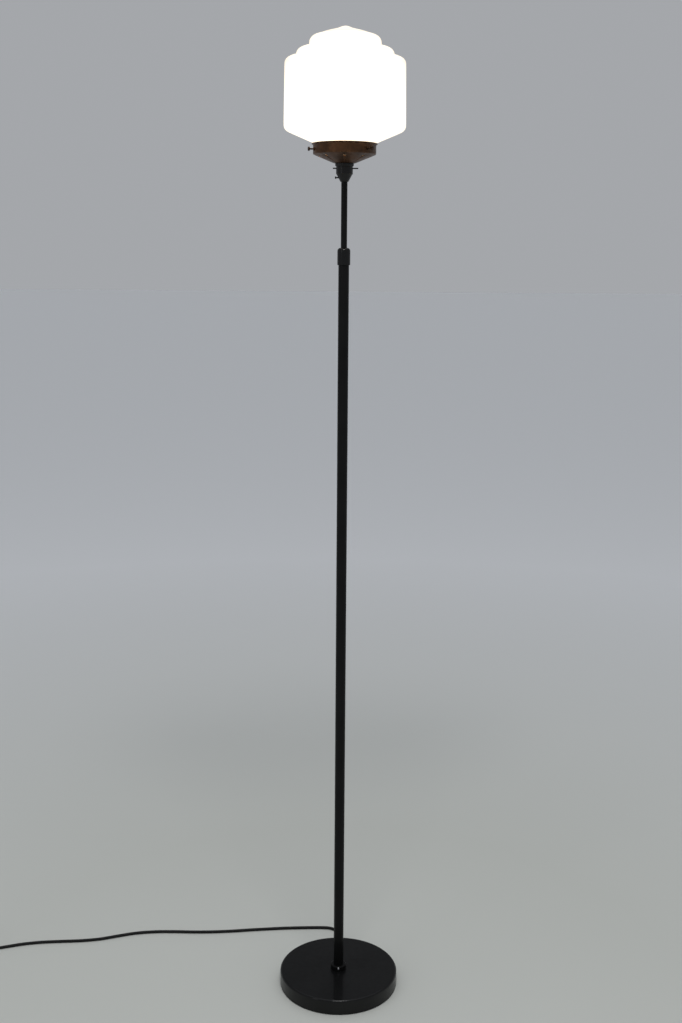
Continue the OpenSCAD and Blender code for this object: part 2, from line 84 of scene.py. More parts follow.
def make_camera():
    data = bpy.data.cameras.new("camera")
    data.lens = LENS
    data.clip_end = SIGHT
    cam = show("camera", data)
    look = Matrix.Rotation(math.pi / 2 - TILT_DOWN, 4, "X") @ Matrix.Rotation(ROLL, 4, "Z")
    cam.matrix_world = Matrix.Translation(EYE) @ look
    bpy.context.scene.camera = cam


make_camera()


# ---- mains cord
# The route's points are those of the CAD source, here in metres.
CORD_D = 0.006
CORD_ROUTE = [
    (0, 0.114, 0.010), (0, 0.130, 0.010), (0, 0.146, 0.0092), (0, 0.158, 0.0062),
    (0, 0.170, 0.0034), (-0.002, 0.181, 0.003), (-0.008, 0.1903, 0.003), (-0.017, 0.1962, 0.003),
    (-0.028, 0.1984, 0.003), (-0.044, 0.1988, 0.003), (-0.065, 0.1982, 0.003), (-0.090, 0.197, 0.003),
    (-0.120, 0.195, 0.003), (-0.152, 0.1915, 0.003), (-0.186, 0.1875, 0.003), (-0.222, 0.1825, 0.003),
    (-0.262, 0.1785, 0.003), (-0.305, 0.177, 0.003), (-0.348, 0.1778, 0.003), (-0.392, 0.1765, 0.003),
    (-0.432, 0.170, 0.003), (-0.468, 0.158, 0.003), (-0.502, 0.146, 0.003), (-0.540, 0.139, 0.003),
    (-0.582, 0.1355, 0.003), (-0.622, 0.1315, 0.003), (-0.658, 0.124, 0.003), (-0.692, 0.1125, 0.003),
    (-0.722, 0.1025, 0.003), (-0.750, 0.099, 0.0035), (-0.775, 0.099, 0.004),
]
TAIL_ROUTE = [
    (-0.775, 0.099, 0.016), (-0.789, 0.099, 0.0156), (-0.802, 0.099, 0.0144),
    (-0.815, 0.099, 0.0132), (-0.828, 0.099, 0.013),
]
COIL_AT = Vector((-0.775, 0.135, 0.004))
COIL_INNER, COIL_OUTER = 0.030, 0.036
# What each turn of the coil ends on: its radius, and its layer counted from the floor.
COIL_TURNS = [(COIL_INNER, 0), (COIL_INNER, 1), (COIL_OUTER, 1), (COIL_OUTER, 2), (COIL_OUTER, 2)]
POINTS_PER_TURN = 36
ROUTE_STEPS = 4
STEP_SHARE = 0.22  # the last part of a turn, over which it moves to the next ring or layer


def on_curve(a, b, c, d, t):
    """A point on the smooth curve from b to c, t from 0 to 1, with a before and d after them."""
    return 0.5 * (2 * b + (c - a) * t + (2 * a - 5 * b + 4 * c - d) * t * t
                  + (3 * b - a - 3 * c + d) * t ** 3)


def smooth_route(route, steps):
    """The route as a smooth line, with so many steps from each of its points to the next."""
    p = [Vector(q) for q in route]
    p = [p[0], *p, p[-1]]
    out = [on_curve(*p[k:k + 4], s / steps) for k in range(len(p) - 3) for s in range(steps)]
    return [*out, p[-1]]


def ease(t):
    t = min(max(t, 0.0), 1.0)
    return t * t * (3 - 2 * t)


def coil_points():
    out = []
    radius, layer = COIL_OUTER, 0
    for next_radius, next_layer in COIL_TURNS:
        for k in range(1, POINTS_PER_TURN + 1):
            share = k / POINTS_PER_TURN
            move = ease((share - 1 + STEP_SHARE) / STEP_SHARE)
            r = radius + (next_radius - radius) * move
            z = (layer + (next_layer - layer) * move) * CORD_D
            a = -math.pi / 2 - TURN * share
            out.append(COIL_AT + Vector((r * math.cos(a), r * math.sin(a), z)))
        radius, layer = next_radius, next_layer
    return out


def make_cord():
    points = [*smooth_route(CORD_ROUTE, ROUTE_STEPS), *coil_points(),
              *smooth_route(TAIL_ROUTE, ROUTE_STEPS)[1:]]
    data = bpy.data.curves.new("mains_cord", "CURVE")
    data.dimensions = "3D"
    data.bevel_depth = 1.0  # times each point's radius
    data.bevel_resolution = 6
    data.use_fill_caps = True
    spline = data.splines.new("POLY")
    spline.points.add(len(points) - 1)
    for p, q in zip(spline.points, points):
        p.co = (*q, 1.0)
        p.radius = CORD_D / 2
    spline.use_smooth = True
    return show("mains_cord", data)


cord = make_cord()


# ---- sizes from the frame
Round = namedtuple("Round", "r low high")  # an upright round node: radius, lowest and highest z


def mid_mm(a, b):
    """The middle between two coordinates that are in metres."""
    return (a + b) / 2 / MM


def half_mm(a, b):
    """Half of the distance from a to b, which are in metres."""
    return (b - a) / 2 / MM


def upright(node):
    low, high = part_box(node)
    return Round(half_mm(low.x, high.x), low.z / MM, high.z / MM)


cover = upright("base_cover")
ferrule = upright("pole_ferrule")
tube = upright("lower_tube")
collar = upright("clamp_collar")
rod = upright("mast_rod")
cap = upright("holder_cap")
barrel = upright("holder_barrel")
clamp_ring = upright("holder_ring")
bowl = upright("gallery")
shade = upright("glass_shade")
bulb = upright("bulb_glass")


# ---- mesh tools
EDGE = "edge"  # a point attribute: 1 on rounded edges, where a finish wears
# Segments of a round piece, of the widest ones, of small ones, and of thin ones and drills.
ROUND, WIDE_ROUND, SMALL_ROUND, THIN_ROUND = 96, 256, 48, 32
FIT = 0.05  # the play of a piece that sits in another's bore
TINY = 1e-6


def new_mesh(name, points, faces, edge=None, sharp=40, place=None):
    """An object at its place. Edge is each point's share of wear, and sharp the angle of a hard edge."""
    if place is not None:
        points = [place @ p for p in points]
    mesh = bpy.data.meshes.new(name)
    mesh.from_pydata([Vector(p) * MM for p in points], [], faces)
    bm = bmesh.new()
    bm.from_mesh(mesh)
    bmesh.ops.recalc_face_normals(bm, faces=bm.faces)
    bm.to_mesh(mesh)
    bm.free()
    mesh.shade_smooth()
    mesh.set_sharp_from_angle(angle=math.radians(sharp))
    if edge:
        mesh.attributes.new(EDGE, "FLOAT", "POINT").data.foreach_set("value", edge)
    return show(name, mesh)


def skin(rings, loop=False):
    """Points and faces of a surface through rings of points; a ring of one point is a tip."""
    points, faces, starts = [], [], []
    for ring in rings:
        starts.append(len(points))
        points += ring
    pairs = list(zip(range(len(rings)), range(1, len(rings))))
    if loop:
        pairs.append((len(rings) - 1, 0))
    for a, b in pairs:
        na, nb = len(rings[a]), len(rings[b])
        for k in range(max(na, nb)):
            corners = [starts[a] + k % na, starts[a] + (k + 1) % na,
                       starts[b] + (k + 1) % nb, starts[b] + k % nb]
            faces.append(list(dict.fromkeys(corners)))
    if not loop:
        for k in (0, -1):
            if len(rings[k]) > 1:
                faces.append([starts[k] + j for j in range(len(rings[k]))])
    return points, faces


def circle(r, z, segments=ROUND):
    """A ring of points round the Z axis. r may be a function of the angle."""
    if not callable(r) and r < TINY:
        return [Vector((0, 0, z))]
    out = []
    for k in range(segments):
        a = TURN * k / segments
        d = r(a) if callable(r) else r
        out.append(Vector((d * math.cos(a), d * math.sin(a), z)))
    return out


def circles(profile, segments=ROUND):
    return [circle(r, z, segments) for r, z in profile]


def arc(x, z, r, start, end, steps=8):
    """Points of an arc in an outline, with angles in degrees."""
    angles = [math.radians(start + (end - start) * k / steps) for k in range(steps + 1)]
    return [(x + r * math.cos(a), z + r * math.sin(a)) for a in angles]


FADE = 1.6  # how far an edge's wear fades out, in lengths of its rounding


def rounded(corners, closed=True, step=15):
    """An outline and its edge weights, from corners (x, z) or (x, z, radius of the rounding)."""
    out, weights = [], []
    count = len(corners)
    for k, corner in enumerate(corners):
        here = Vector(corner[:2])
        radius = corner[2] if len(corner) > 2 else 0
        if not radius or (not closed and k in (0, count - 1)):
            out.append(tuple(here))
            weights.append(0.0)
            continue
        before = (Vector(corners[k - 1][:2]) - here).normalized()
        after = (Vector(corners[(k + 1) % count][:2]) - here).normalized()
        half = before.angle(after) / 2
        reach = radius / math.tan(half)
        centre = here + (before + after).normalized() * radius / math.sin(half)
        start, end = here + before * reach - centre, here + after * reach - centre
        sweep = start.angle_signed(end)
        steps = max(2, math.ceil(abs(math.degrees(sweep)) / step))
        out.append(tuple(here + before * reach * FADE))
        weights.append(0.0)
        for s in range(steps + 1):
            turn = Matrix.Rotation(-sweep * s / steps, 2)
            out.append(tuple(centre + turn @ start))
            weights.append(1.0)
        out.append(tuple(here + after * reach * FADE))
        weights.append(0.0)
    return out, weights


def turned(name, outline, weights=None, segments=ROUND, closed=True, place=None):
    """A solid turned about Z. A closed outline is a ring's section; an open one starts and ends on Z."""
    rings = circles(outline, segments)
    edge = None
    if weights:
        edge = [w for ring, w in zip(rings, weights) for _ in ring]
    return new_mesh(name, *skin(rings, loop=closed), edge, place=place)


def placed(x, y, z, axis="Z"):
    """A place for a turned piece: its Z axis is laid along the axis that is named."""
    lay = {"Z": Matrix.Identity(4), "X": Matrix.Rotation(math.pi / 2, 4, "Y"),
           "-X": Matrix.Rotation(-math.pi / 2, 4, "Y"), "Y": Matrix.Rotation(-math.pi / 2, 4, "X"),
           "-Y": Matrix.Rotation(math.pi / 2, 4, "X")}[axis]
    return Matrix.Translation((x, y, z)) @ lay


def tube_along(name, path, r, sides=8, steps=5):
    """A round tube along a smooth line through the path's points, in millimetres."""
    line = smooth_route(path, steps)
    rings = []
    side = None
    for k, p in enumerate(line):
        heading = (line[min(k + 1, len(line) - 1)] - line[max(k - 1, 0)]).normalized()
        if side is None:
            side = heading.orthogonal()
        side = (side - heading * side.dot(heading)).normalized()
        up = heading.cross(side)
        rings.append([p + r * (side * math.cos(TURN * j / sides) + up * math.sin(TURN * j / sides))
                      for j in range(sides)])
    return new_mesh(name, *skin(rings))


def cut(obj, tools):
    """Takes the tools' solids out of obj and deletes them."""
    for tool in tools:
        change = obj.modifiers.new("cut", "BOOLEAN")
        change.operation = "DIFFERENCE"
        change.solver = "EXACT"
        change.object = tool
    bpy.context.view_layer.update()
    seen = obj.evaluated_get(bpy.context.evaluated_depsgraph_get())
    mesh = bpy.data.meshes.new_from_object(seen)
    obj.modifiers.clear()
    old, obj.data = obj.data, mesh
    bpy.data.meshes.remove(old)
    mesh.name = obj.name
    for tool in tools:
        bpy.data.meshes.remove(tool.data)
    return obj


def drill(place, r, depth):
    """A cutting tool: a round rod from the place, along its Z axis."""
    section = [(0, 0), (r, 0), (r, depth), (0, depth)]
    return turned("drill", section, segments=THIN_ROUND, closed=False, place=place)


def slab(place, x, y, z):
    """A cutting tool: a block centred on the place."""
    corners = [Vector((i * x / 2, j * y / 2, k * z / 2)) for k in (-1, 1)
               for i, j in ((-1, -1), (1, -1), (1, 1), (-1, 1))]
    return new_mesh("slab", *skin([corners[:4], corners[4:]]), place=place)


def joined(name, parts):
    """One object out of several, which keep their own surfaces."""
    mesh = bpy.data.meshes.new(name)
    bm = bmesh.new()
    for part in parts:
        bm.from_mesh(part.data)
    bm.to_mesh(mesh)
    bm.free()
    for part in parts:
        bpy.data.meshes.remove(part.data)
    return show(name, mesh)


# ---- finishes
record_slots = {row["node"]: row["material_slot"] for row in frame["record"]["subparts"]}


class Finish:
    """A Principled material in the making. Plain values sit on the shader's own sockets.

    Noise scales are in waves per metre, and the depths of reliefs are in metres."""

    def __init__(self, name, colour, roughness, **sockets):
        self.material = bpy.data.materials.new(name)
        self.material.use_nodes = True
        self.tree = self.material.node_tree
        self.shader = self.tree.nodes["Principled BSDF"]
        self.shader.inputs["Base Color"].default_value = (*colour, 1)
        self.shader.inputs["Roughness"].default_value = roughness
        for socket, value in sockets.items():
            self.shader.inputs[socket.replace("_", " ")].default_value = value
        self.normal = None

    def node(self, kind, **settings):
        made = self.tree.nodes.new("ShaderNode" + kind)
        for key, value in settings.items():
            setattr(made, key, value)
        return made

    def link(self, source, target):
        self.tree.links.new(source, target)

    def where(self):
        return self.node("TexCoord").outputs["Object"]

    def noise(self, scale, detail, at=None, stretch=None):
        """Noise at a point, or at the spot itself, stretched along the axes if asked."""
        source = at or self.where()
        if stretch:
            mapping = self.node("Mapping")
            mapping.inputs["Scale"].default_value = stretch
            self.link(source, mapping.inputs["Vector"])
            source = mapping.outputs["Vector"]
        made = self.node("TexNoise")
        made.inputs["Scale"].default_value = scale
        made.inputs["Detail"].default_value = detail
        self.link(source, made.inputs["Vector"])
        return made.outputs["Fac"]

    def attribute(self, name):
        return self.node("Attribute", attribute_name=name).outputs["Fac"]

    def ranged(self, value, low, high, to_low=0.0, to_high=1.0):
        made = self.node("MapRange")
        limits = {"From Min": low, "From Max": high, "To Min": to_low, "To Max": to_high}
        for socket, number in limits.items():
            made.inputs[socket].default_value = number
        self.link(value, made.inputs["Value"])
        return made.outputs["Result"]

    def math(self, what, a, b=0.0):
        made = self.node("Math", operation=what)
        for socket, value in zip(made.inputs, (a, b)):
            if isinstance(value, (int, float)):
                socket.default_value = value
            else:
                self.link(value, socket)
        return made.outputs["Value"]

    def mixed(self, share, a, b):
        """A colour between a and b, each a colour or the output of a node."""
        made = self.node("Mix", data_type="RGBA")
        self.link(share, made.inputs["Factor"])
        for socket, value in ((made.inputs[6], a), (made.inputs[7], b)):
            if isinstance(value, tuple):
                socket.default_value = (*value, 1)
            else:
                self.link(value, socket)
        return made.outputs[2]

    def drive(self, socket, value):
        self.link(value, self.shader.inputs[socket])

    def relief(self, value, depth):
        """Adds a bump, on top of those before it."""
        made = self.node("Bump")
        made.inputs["Strength"].default_value = 1.0
        made.inputs["Distance"].default_value = depth
        self.link(value, made.inputs["Height"])
        if self.normal:
            self.link(self.normal, made.inputs["Normal"])
        self.normal = made.outputs["Normal"]
        self.link(self.normal, self.shader.inputs["Normal"])

    def worn(self, low, high, scale=260.0):
        """How worn a spot is: patches along rounded edges."""
        patches = self.ranged(self.noise(scale, 4.0), low, high)
        return self.math("MULTIPLY", patches, self.attribute(EDGE))

    def round_axis(self):
        """Where a spot lies on a piece turned about the Z axis: its radius and height."""
        split = self.node("SeparateXYZ")
        self.link(self.where(), split.inputs[0])
        x, y, z = split.outputs
        square = self.math("ADD", self.math("MULTIPLY", x, x), self.math("MULTIPLY", y, y))
        made = self.node("CombineXYZ")
        self.link(self.math("SQRT", square), made.inputs[0])
        self.link(z, made.inputs[1])
        return made.outputs[0]


def black_paint(name, specular, coat, coat_roughness):
    f = Finish(name, (0.005, 0.005, 0.005), 0.42, Specular_IOR_Level=specular, Coat_Weight=coat,
               Coat_Roughness=coat_roughness)
    drift = f.noise(14.0, 3.0)
    worn = f.worn(0.62, 0.8)
    paint = f.mixed(f.ranged(drift, 0.35, 0.65), (0.0035, 0.0036, 0.0037), (0.0062, 0.0063, 0.0064))
    f.drive("Base Color", f.mixed(worn, paint, (0.018, 0.0175, 0.0165)))
    dull = f.ranged(f.noise(95.0, 3.0), 0.3, 0.7, 0.36, 0.48)
    f.drive("Roughness", f.math("SUBTRACT", dull, f.math("MULTIPLY", worn, 0.12)))
    f.relief(f.noise(900.0, 2.0), 0.00003)
    f.relief(f.noise(3200.0, 1.0), 0.000006)
    return f.material


def black_brass():
    """Black lacquer over brass, which shows where an edge is worn."""
    f = Finish("black_brass", (0.006, 0.0055, 0.005), 0.36, Specular_IOR_Level=0.15, Coat_Weight=0.3,
               Coat_Roughness=0.16)
    worn = f.worn(0.6, 0.72, 420.0)
    lacquer = f.mixed(f.noise(60.0, 3.0), (0.0045, 0.0045, 0.0042), (0.0095, 0.0085, 0.0072))
    f.drive("Base Color", f.mixed(worn, lacquer, (0.16, 0.09, 0.035)))
    f.drive("Metallic", f.math("MULTIPLY", worn, 0.8))
    f.drive("Roughness", f.ranged(f.noise(240.0, 3.0), 0.3, 0.7, 0.30, 0.44))
    f.relief(f.noise(1400.0, 2.0), 0.000012)
    return f.material


def bronze(name, tone=1.0):
    """Brass with a brown patina, rubbed a little on its edges. Tone darkens or lightens all of it; a
    darker copy is painted shade.
    """
    f = Finish(name, (0.11, 0.06, 0.035), 0.42, Metallic=0.85)

    def toned(*colour):
        return tuple(tone * c for c in colour)

    spun = f.noise(2600.0, 2.0, at=f.round_axis())
    patina = f.ranged(f.noise(38.0, 4.0), 0.38, 0.64)
    worn = f.worn(0.48, 0.70, 300.0)
    dark = f.mixed(patina, toned(0.048, 0.024, 0.013), toned(0.112, 0.051, 0.023))
    dark = f.mixed(f.ranged(spun, 0.45, 0.7, 0.0, 0.35), dark, toned(0.16, 0.082, 0.040))
    f.drive("Base Color", f.mixed(worn, dark, toned(0.22, 0.115, 0.055)))
    dull = f.ranged(f.noise(120.0, 3.0), 0.3, 0.7, 0.36, 0.52)
    f.drive("Roughness", f.math("SUBTRACT", dull, f.math("MULTIPLY", worn, 0.12)))
    f.relief(spun, 0.000012)
    f.relief(f.noise(700.0, 2.0), 0.00001)
    return f.material


def cast_iron():
    f = Finish("cast_iron", (0.10, 0.10, 0.10), 0.75, Metallic=0.4)
    f.drive("Base Color", f.mixed(f.noise(70.0, 5.0), (0.055, 0.053, 0.05), (0.16, 0.15, 0.14)))
    f.relief(f.noise(420.0, 6.0), 0.0003)
    return f.material


def bare_metal(name, dark, light, roughness):
    """Plated or machined metal: fine marks from its making, and slight stains."""
    f = Finish(name, light, roughness, Metallic=1.0)
    f.drive("Base Color", f.mixed(f.ranged(f.noise(160.0, 4.0), 0.4, 0.62), light, dark))
    f.drive("Roughness", f.ranged(f.noise(500.0, 3.0), 0.3, 0.7, roughness - 0.07, roughness + 0.1))
    f.relief(f.noise(2400.0, 1.0, stretch=(1, 1, 0.08)), 0.000008)
    return f.material


def plain_plastic(name, dark, light, roughness, depth=0.00001, **sockets):
    """Moulded plastic, rubber or ceramic: a slightly uneven colour, and a fine skin."""
    f = Finish(name, light, roughness, **sockets)
    f.drive("Base Color", f.mixed(f.ranged(f.noise(55.0, 4.0), 0.35, 0.65), dark, light))
    f.drive("Roughness", f.ranged(f.noise(330.0, 3.0), 0.3, 0.7, roughness - 0.06, roughness + 0.08))
    f.relief(f.noise(1800.0, 2.0), depth)
    return f.material


GLOW = 1.6  # how bright the lit glass is beside the room
GLOW_FLOOR = 0.55  # the share of the light that the glass spreads evenly
GLOW_FAR, GLOW_NEAR = (1.0, 0.80, 0.56), (1.0, 0.87, 0.68)  # its colours, by distance from the bulb


def opal_glass():
    """Lit glass, brightest close to the bulb and dimmer where it is thick, on its rounded edges."""
    f = Finish("opal_glass", (0.90, 0.87, 0.80), 0.16, Coat_Weight=0.6, Coat_Roughness=0.06)
    reach = f.node("VectorMath", operation="DISTANCE")
    f.link(f.where(), reach.inputs[0])
    reach.inputs[1].default_value = Vector((0, 0, (bulb.high - bulb.r) * MM))
    near = f.math("POWER", f.math("DIVIDE", shade.r * MM, reach.outputs["Value"]), 2.0)
    lit = f.ranged(near, 0.35, 1.0, GLOW_FLOOR, 1.0)
    cloudy = f.ranged(f.noise(22.0, 4.0), 0.3, 0.7, 0.96, 1.03)
    thick = f.ranged(f.attribute(EDGE), 0.0, 1.0, 1.0, 0.80)
    power = f.math("MULTIPLY", f.math("MULTIPLY", lit, cloudy), thick)
    f.drive("Emission Color", f.mixed(f.ranged(lit, GLOW_FLOOR, 1.0), GLOW_FAR, GLOW_NEAR))
    f.drive("Emission Strength", f.math("MULTIPLY", power, GLOW))
    f.relief(f.noise(30.0, 2.0), 0.0004)
    return f.material


def bulb_glass():
    f = Finish("bulb_glass", (1, 1, 1), 0.0, Transmission_Weight=1.0, IOR=1.45)
    f.drive("Roughness", f.ranged(f.noise(80.0, 3.0), 0.5, 0.8, 0.0, 0.05))
    return f.material


def filament():
    f = Finish("filament", (1.0, 0.75, 0.3), 0.5, Emission_Color=(1.0, 0.62, 0.28, 1))
    f.drive("Emission Strength", f.ranged(f.noise(600.0, 1.0), 0.3, 0.7, 14.0, 22.0))
    return f.material


finishes = {
    "black_paint": black_paint("black_paint", specular=0.07, coat=0.4, coat_roughness=0.06),
    "black_brass": black_brass(),
    "bronze": bronze("bronze"),
    "cast_iron": cast_iron(),
    "zinc": bare_metal("zinc", (0.42, 0.42, 0.43), (0.62, 0.62, 0.64), 0.34),
    "spring_steel": bare_metal("spring_steel", (0.30, 0.30, 0.31), (0.50, 0.50, 0.52), 0.28),
    "tin": bare_metal("tin", (0.55, 0.55, 0.54), (0.74, 0.74, 0.73), 0.3),
    "brass": bare_metal("brass", (0.46, 0.31, 0.13), (0.74, 0.54, 0.24), 0.3),
    "nylon": plain_plastic("nylon", (0.74, 0.71, 0.62), (0.82, 0.80, 0.72), 0.5),
    "porcelain": plain_plastic("porcelain", (0.80, 0.78, 0.72), (0.88, 0.86, 0.80), 0.2, Coat_Weight=0.5),
    "opal_glass": opal_glass(),
    "bulb_glass": bulb_glass(),
    "filament": filament(),
    "vitrite": plain_plastic("vitrite", (0.012, 0.012, 0.016), (0.02, 0.02, 0.026), 0.14),
    "foot_rubber": plain_plastic("foot_rubber", (0.018, 0.018, 0.018), (0.03, 0.03, 0.03), 0.75, 0.00004),
    "cord_rubber": plain_plastic("cord_rubber", (0.0045, 0.0047, 0.0045), (0.008, 0.0083, 0.008), 0.5,
                                 0.00002, Specular_IOR_Level=0.2),
    "plug_rubber": plain_plastic("plug_rubber", (0.014, 0.014, 0.014), (0.024, 0.024, 0.024), 0.55,
                                 0.00003),
    "wire_sleeve": plain_plastic("wire_sleeve", (0.26, 0.12, 0.05), (0.36, 0.18, 0.08), 0.45),
}
# For pieces whose gloss differs from the rest of their slot, and a bronze darkened all over as painted
# shade.
pole_paint = black_paint("pole_paint", specular=0.07, coat=0.12, coat_roughness=0.12)
collar_paint = black_paint("collar_paint", specular=0.05, coat=0.38, coat_roughness=0.1)
# Painted shade: the thumbscrews' bronze is the gallery's bronze darkened all over.
painted_shade_bronze = bronze("painted_shade_bronze", tone=0.45)
for name, obj in frame["nodes"].items():
    obj.data.materials.clear()
    obj.data.materials.append(finishes[record_slots[name]])


def take_finish(piece, slot, *replaced, finish=None):
    """The piece takes its finish, and stands for the nodes that it replaces."""
    if replaced:
        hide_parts(*replaced)
    piece.data.materials.clear()
    piece.data.materials.append(finish or finishes[slot])


def fit_in(piece, body, slot, *replaced, finish=None):
    """The piece rides on its body, takes its finish, and stands for the nodes that it replaces."""
    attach(piece, body)
    take_finish(piece, slot, *replaced, finish=finish)


# ---- base
SHEET = 2.0  # the thickness of the spun cover
RELIEF_HOLE_R = 5.1


def make_base():
    bore = 5.2
    inner_r, inner_high = cover.r - SHEET, cover.high - SHEET
    section = [(cover.r, cover.low, 0.5), (cover.r, cover.high, 4), (bore, cover.high, 0.3),
               (bore, inner_high), (inner_r, inner_high, 2), (inner_r, cover.low, 0.5)]
    piece = turned("spun_cover", *rounded(section, step=9), segments=WIDE_ROUND)
    low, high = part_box("cord_relief")
    inside, through = cover.r - 20, 30
    cut(piece, [drill(placed(0, inside, mid_mm(low.z, high.z), "Y"), RELIEF_HOLE_R, through)])
    fit_in(piece, "stand", "black_paint", "base_cover")


def hexagon(flat):
    """The radius of a hexagon at an angle, from the distance of its flats."""
    return lambda a: flat / math.cos((a % (TURN / 6)) - TURN / 12)


def make_ferrule():
    """The ferrule at the foot of the pole, and its set screw, which has a hexagon socket."""
    low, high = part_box("ferrule_screw")
    z, r = mid_mm(low.z, high.z), half_mm(low.z, high.z)
    bore = tube.r + FIT
    section = [(bore, ferrule.low), (ferrule.r, ferrule.low, 0.3), (ferrule.r, ferrule.high, 2),
               (bore, ferrule.high, 0.4)]
    piece = turned("foot_ferrule", *rounded(section))
    cut(piece, [drill(placed(0, -tube.r + 1, z, "-Y"), r + FIT, 8)])
    fit_in(piece, "stand", "black_paint", "pole_ferrule", finish=pole_paint)

    front, back = -low.y / MM, -high.y / MM
    mouth, socket = hexagon(1.25), hexagon(1.1)
    profile = [(0, back), (r - 0.4, back), (r, back + 0.4), (r, front - 0.35), (r - 0.35, front),
               (mouth, front), (socket, front - 0.2), (socket, front - 1.6), (0, front - 1.9)]
    rings = circles(profile, SMALL_ROUND)
    screw = new_mesh("set_screw", *skin(rings), sharp=30, place=placed(0, 0, z, "-Y"))
    fit_in(screw, "stand", "zinc", "ferrule_screw")


# ---- pole
TUBE_WALL, ROD_WALL = 1.5, 1.25
COLLAR_SHOULDER = 5.3  # the rounding of the collar's top


def make_pole():
    bore = tube.r - TUBE_WALL
    section = [(bore, tube.low), (tube.r, tube.low), (tube.r, tube.high, 0.3), (bore, tube.high, 0.3)]
    piece = turned("lower_pole", *rounded(section))
    fit_in(piece, "stand", "black_paint", "lower_tube", finish=pole_paint)

    lip, grip = rod.r + 0.4, tube.r + 0.08
    section = [(grip, collar.low, 0.25), (collar.r, collar.low, 1.2),
               (collar.r, collar.high, COLLAR_SHOULDER), (lip, collar.high, 0.4), (lip, collar.high - 3),
               (tube.r - TUBE_WALL, collar.high - 3), (grip, tube.high + 2.5)]
    piece = turned("clamping_collar", *rounded(section, step=9))
    fit_in(piece, "collar", "black_paint", "clamp_collar", finish=collar_paint)

    bore = rod.r - ROD_WALL
    section = [(bore, rod.low, 0.2), (rod.r, rod.low, 0.3), (rod.r, rod.high, 0.3), (bore, rod.high, 0.2)]
    piece = turned("sliding_rod", *rounded(section), segments=72)
    fit_in(piece, "mast", "black_paint", "mast_rod", finish=pole_paint)


SLACK_LEAD_R = 2.4
SLACK_SWAY, SLACK_TURNS = 2.6, 4  # how far and how often the lead winds about the pole's axis


def make_slack_lead():
    """The loosely wound lead in the lower tube, drawn in one shape."""
    low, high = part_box("tube_lead")
    start, end = low.z / MM, high.z / MM
    steps = 64
    path = []
    for k in range(steps + 1):
        f = k / steps
        side, a = SLACK_SWAY * math.sin(TURN / 2 * f) ** 2, TURN * SLACK_TURNS * f
        path.append((side * math.cos(a), side * math.sin(a), start + (end - start) * f))
    piece = tube_along("slack_lead", path, SLACK_LEAD_R, sides=12, steps=2)
    take_finish(piece, "cord_rubber", "tube_lead")
    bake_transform(piece)


# ---- lampholder
bar_low, bar_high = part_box("push_bar")
bar_z, bar_r = mid_mm(bar_low.z, bar_high.z), half_mm(bar_low.z, bar_high.z)
grub_low, grub_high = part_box("holder_grub")
grub_z = mid_mm(grub_low.z, grub_high.z)
GRUB_R, GRUB_HEAD_R = 1.2, 2


def fluted(r, depth, count):
    """The radius of a ribbed grip at an angle."""
    return lambda a: r - depth * (0.5 - 0.5 * math.cos(count * a)) ** 0.7


def threaded(r, depth, pitch, z):
    """The radius of a screw thread at an angle, at height z."""
    return lambda a: r - depth * abs(2 * ((a / TURN - z / pitch) % 1.0) - 1)


def thread_rings(r, depth, pitch, low, high):
    """Rings of a thread that fades in and out at its ends."""
    rings_per_pitch = 6
    count = max(2, round((high - low) / pitch * rings_per_pitch))
    rings = []
    for k in range(count + 1):
        z = low + (high - low) * k / count
        fade = min(1.0, (z - low) / pitch, (high - z) / pitch)
        rings.append(circle(threaded(r, depth * fade, pitch, z), z))
    return rings


def make_cap():
    """The cone-shaped bottom cap, with holes for the push bar and the grub screw."""
    bore, z = rod.r + FIT, cap.low
    inside, waist = cap.r - 2, cap.r - 0.35
    section = [(bore, z, 0.2), (7, z, 0.6), (13, z + 11, 1.5), (cap.r, z + 13.2, 0.8),
               (cap.r, cap.high - 1.7, 0.2), (waist, cap.high - 1.5), (waist, cap.high - 1.2),
               (cap.r, cap.high - 1.0, 0.2), (cap.r, cap.high, 0.3), (inside, cap.high),
               (inside, z + 15), (10.5, z + 12.2), (bore, z + 8)]
    piece = turned("holder_bottom_cap", *rounded(section))
    cut(piece, [drill(placed(-cap.r - 2, 0, bar_z, "X"), bar_r + 0.35, 2 * cap.r + 4),
                drill(placed(-cap.r, 0, grub_z, "X"), GRUB_R + FIT, cap.r - rod.r + 1)])
    fit_in(piece, "mast", "black_brass", "holder_cap")


def make_barrel():
    """The barrel. Its thread takes the ring above the bowl."""
    inner = barrel.r - 1.1
    seat = clamp_ring.high + 1.2
    depth, pitch = 0.3, 1.5
    rings = [*circles([(inner, barrel.low), (barrel.r, barrel.low), (barrel.r, seat)]),
             *thread_rings(barrel.r, depth, pitch, seat + 0.4, barrel.high - 0.8),
             *circles([(barrel.r - 0.4, barrel.high), (inner, barrel.high)])]
    piece = new_mesh("threaded_barrel", *skin(rings, loop=True), sharp=30)
    fit_in(piece, "mast", "black_brass", "holder_barrel")


def make_grip_ring():
    r, low, high = clamp_ring
    bore, flutes = barrel.r + FIT, fluted(r, depth=0.42, count=36)
    profile = [(bore, low), (r - 0.9, low), (r - 0.35, low + 0.5), (flutes, low + 0.9),
               (flutes, high - 0.9), (r - 0.35, high - 0.5), (r - 0.9, high), (bore, high)]
    rings = circles(profile, segments=216)
    piece = new_mesh("grip_ring", *skin(rings, loop=True), sharp=35)
    fit_in(piece, "mast", "black_brass", "holder_ring")


def make_push_bar():
    end = half_mm(bar_low.x, bar_high.x)
    section = [(0, -end), (bar_r, -end, 0.8), (bar_r, end, 0.8), (0, end)]
    piece = turned("switch_bar_rod", *rounded(section, closed=False), segments=THIN_ROUND, closed=False,
                   place=placed(mid_mm(bar_low.x, bar_high.x), 0, bar_z, "X"))
    fit_in(piece, "switch_bar", "black_brass", "push_bar")


